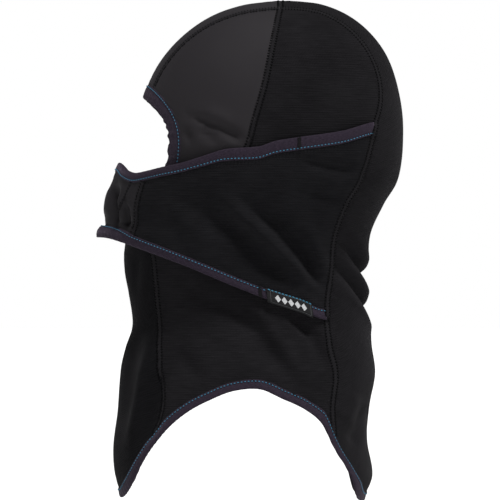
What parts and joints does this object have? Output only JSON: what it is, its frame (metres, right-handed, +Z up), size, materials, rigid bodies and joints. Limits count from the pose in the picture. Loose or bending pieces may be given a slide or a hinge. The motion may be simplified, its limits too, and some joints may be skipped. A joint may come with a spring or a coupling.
{
  "type": "balaclava",
  "caption": "Winter sports balaclava with a windproof brow, knit hood and neck gaiter, and a bound face mask that pulls down below the mouth.",
  "frame": {"origin": "where the inside of the crown rests on the head", "axes": "+Z up, -Y out of the face, +X to the wearer's left"},
  "size_m": [0.1656, 0.2385, 0.3947],
  "materials": {
    "windproof_fabric": "matte",
    "knit_fabric": "matte",
    "neck_knit": "matte",
    "binding_tape": "matte",
    "bar_tack_thread": "satin",
    "woven_tape": "satin"
  },
  "bodies": {
    "hood": {"crown_strip": "windproof_fabric", "forehead_panel_left": "windproof_fabric", "forehead_panel_right": "windproof_fabric", "side_panel_left": "knit_fabric", "side_panel_right": "knit_fabric", "centre_back_panel": "knit_fabric", "neck_front_panel": "neck_knit", "face_binding": "binding_tape", "hem_binding": "binding_tape", "mask_rear_left": "knit_fabric", "mask_rear_right": "knit_fabric", "mask_top_binding_rear_left": "binding_tape", "mask_top_binding_rear_right": "binding_tape", "mask_bottom_binding_rear_left": "binding_tape", "mask_bottom_binding_rear_right": "binding_tape", "bar_tack_top_left": "bar_tack_thread", "bar_tack_top_right": "bar_tack_thread", "bar_tack_bottom_left": "bar_tack_thread", "bar_tack_bottom_right": "bar_tack_thread", "woven_label": "woven_tape"},
    "mask": {"mask_front_panel": "windproof_fabric", "mask_side_left": "knit_fabric", "mask_side_right": "knit_fabric", "mask_top_binding": "binding_tape", "mask_bottom_binding": "binding_tape"}
  },
  "joints": [
    {"name": "mask_pull_down", "type": "hinge", "parent": "hood", "child": "mask", "pos_m": [0, 0.00198, -0.16816], "axis": [1, 0, 0], "range_deg": [0, 22]}
  ]
}
